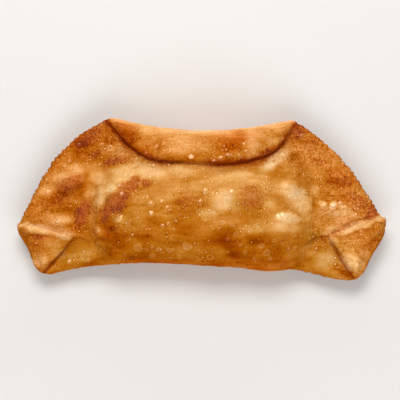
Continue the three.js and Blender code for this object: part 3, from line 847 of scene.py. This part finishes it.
def bubbles(scale, radius, share):
    """Domes scattered one to a cell: height from 0 to 1, and the rim round each, on a share of the cells."""
    node = nodes.new("ShaderNodeTexVoronoi")
    links.new(coordinates, node.inputs["Vector"])
    node.inputs["Scale"].default_value = scale
    chance = nodes.new("ShaderNodeSeparateColor")
    links.new(node.outputs["Color"], chance.inputs["Color"])
    present = maths("LESS_THAN", chance.outputs["Red"], share)
    size = fitted(chance.outputs["Green"], 0, 1, radius * SMALLEST_BUBBLE, radius)
    reach = maths("DIVIDE", node.outputs["Distance"], size)
    dome = maths("SUBTRACT", 1.0, times(reach, reach), True)
    rim = times(fitted(reach, *BUBBLE_RIM), fitted(reach, *BUBBLE_RIM_END, 1, 0))
    return times(dome, present), times(rim, present)


def broken(mark, breakup, edge, fade):
    """Share of a mark, with its edge broken up by textures."""
    painted = attribute(mark)
    return times(fitted(total(painted, *swings(breakup)), *edge), fitted(painted, *fade))


def ramp_colour(value):
    node = nodes.new("ShaderNodeValToRGB")
    stops = node.color_ramp.elements
    stops[0].position, stops[0].color = RAMP[0][0], srgb(*RAMP[0][1])
    stops[1].position, stops[1].color = RAMP[-1][0], srgb(*RAMP[-1][1])
    for position, colour in RAMP[1:-1]:
        stops.new(position).color = srgb(*colour)
    links.new(value, node.inputs["Fac"])
    return node.outputs["Color"]


def bumped(height):
    node = nodes.new("ShaderNodeBump")
    node.inputs["Strength"].default_value = BUMP_STRENGTH
    node.inputs["Distance"].default_value = BUMP_DISTANCE
    links.new(height, node.inputs["Height"])
    return node.outputs["Normal"]


textures = {name: noise_texture(name) for name in TEXTURES}
crowd = fitted(textures["crowd"], *CROWDED, *CROWD_SHARE)
# Tiny bubbles, pale on top: painted glints on the dots, and in part on the beads
beads, bead_rims = bubbles(*BEADS, crowd)
dots, dot_rims = bubbles(*DOTS, crowd)
toasted_and_painted_shade = broken("brown", TOASTED_BREAKUP, TOASTED_EDGE, TOASTED_FADE)
blanched_and_painted_light = broken("pale", PALE_BREAKUP, PALE_EDGE, PALE_FADE)
details = {
    "toasted_and_painted_shade": toasted_and_painted_shade, "blanched_and_painted_light": blanched_and_painted_light, "beads": beads, "bead_rims": bead_rims, "dots": dots,
    "dot_rims": dot_rims, "cap": attribute("cap"),
}

grain = total(*swings(GRAIN))
graininess = total(attribute("grain"), times(toasted_and_painted_shade, TOASTED_GRAIN))
# How far the crust is fried, with painted glints and the painted light and shade from the marks and runs
fried_and_painted_light = total(
    attribute("done"), times(grain, graininess), *swings(MOTTLING), *scaled(details, FINE_FRIED_AND_PAINTED_LIGHT),
)
redness = maths("ADD", attribute("red"), times(toasted_and_painted_shade, TOASTED_RED), True)
toasted_cover = times(toasted_and_painted_shade, fitted(grain, *TOASTED_GRAINS, *TOASTED_COVER))
# Redness, with the painted red bounce glow at the belly's front
colour = mixed(redness, ramp_colour(fried_and_painted_light), RED_TINT, "MULTIPLY")
# Painted shade over pale dough: a paler, less red tone
colour = mixed(attribute("pale_in_shade"), colour, PALE_IN_SHADE_TINT, "MULTIPLY")
colour = mixed(toasted_cover, colour, srgb(*TOASTED))
# Painted shade: a wider band beside each crease
colour = mixed(attribute("shade"), colour, SHADED, "MULTIPLY")
# Painted shade: the middle of each crease turned deep brown
colour = mixed(times(attribute("crease_shade"), CREASE_SHADE_COVER), colour, srgb(*CREASE_SHADE_COLOUR))
links.new(colour, shader.inputs["Base Color"])

links.new(fitted(textures["fine"], *ROUGH_TEXTURE, *ROUGHNESS), shader.inputs["Roughness"])
shader.inputs["Specular IOR Level"].default_value = 0.0
oil = fitted(total(*scaled(details, OILED)), *OIL_RANGE)
links.new(times(oil, attribute("sheen")), shader.inputs["Coat Weight"])
shader.inputs["Coat Roughness"].default_value = OIL_ROUGHNESS
shader.inputs["Coat IOR"].default_value = OIL_IOR

domes = total(*scaled(details, BUMP_DOMES))
links.new(bumped(total(domes, *scaled(textures, BUMP_CRUST))), shader.inputs["Normal"])
links.new(bumped(domes), shader.inputs["Coat Normal"])

mesh.materials.clear()
mesh.materials.append(material)

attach(pastry, "root")
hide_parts("empanada")

# Floor

scene = bpy.context.scene
bpy.ops.mesh.primitive_plane_add(size=FLOOR_SIZE)
floor = bpy.context.object
floor.name = "floor"
floor_material = bpy.data.materials.new("floor")
floor_material.use_nodes = True
floor_shader = floor_material.node_tree.nodes["Principled BSDF"]
floor_shader.inputs["Base Color"].default_value = FLOOR_COLOUR
floor_shader.inputs["Roughness"].default_value = FLOOR_ROUGHNESS
floor.data.materials.append(floor_material)

# Light


def area_light(name, location, width, depth, power, colour, glints):
    data = bpy.data.lights.new(name, "AREA")
    data.color = colour
    data.shape = "RECTANGLE"
    data.size, data.size_y = width, depth
    data.energy = power
    light = bpy.data.objects.new(name, data)
    light.location = location
    light.visible_glossy = glints
    light.visible_diffuse = not glints
    light.rotation_euler = (-Vector(location)).to_track_quat("-Z", "Y").to_euler()
    scene.collection.objects.link(light)


for light in LIGHTS:
    area_light(*light)

world = bpy.data.worlds.new("studio")
world.use_nodes = True
background = world.node_tree.nodes["Background"]
background.inputs["Color"].default_value = SKY
background.inputs["Strength"].default_value = SKY_STRENGTH
scene.world = world
scene.view_settings.view_transform = "Standard"

# Camera

camera_data = bpy.data.cameras.new("camera")
camera = bpy.data.objects.new("camera", camera_data)
scene.collection.objects.link(camera)
camera.location = CAMERA
camera_data.sensor_width = SENSOR
camera_data.lens = SENSOR * (CAMERA.z - EDGE_HEIGHT) / VIEW_WIDTH
scene.camera = camera
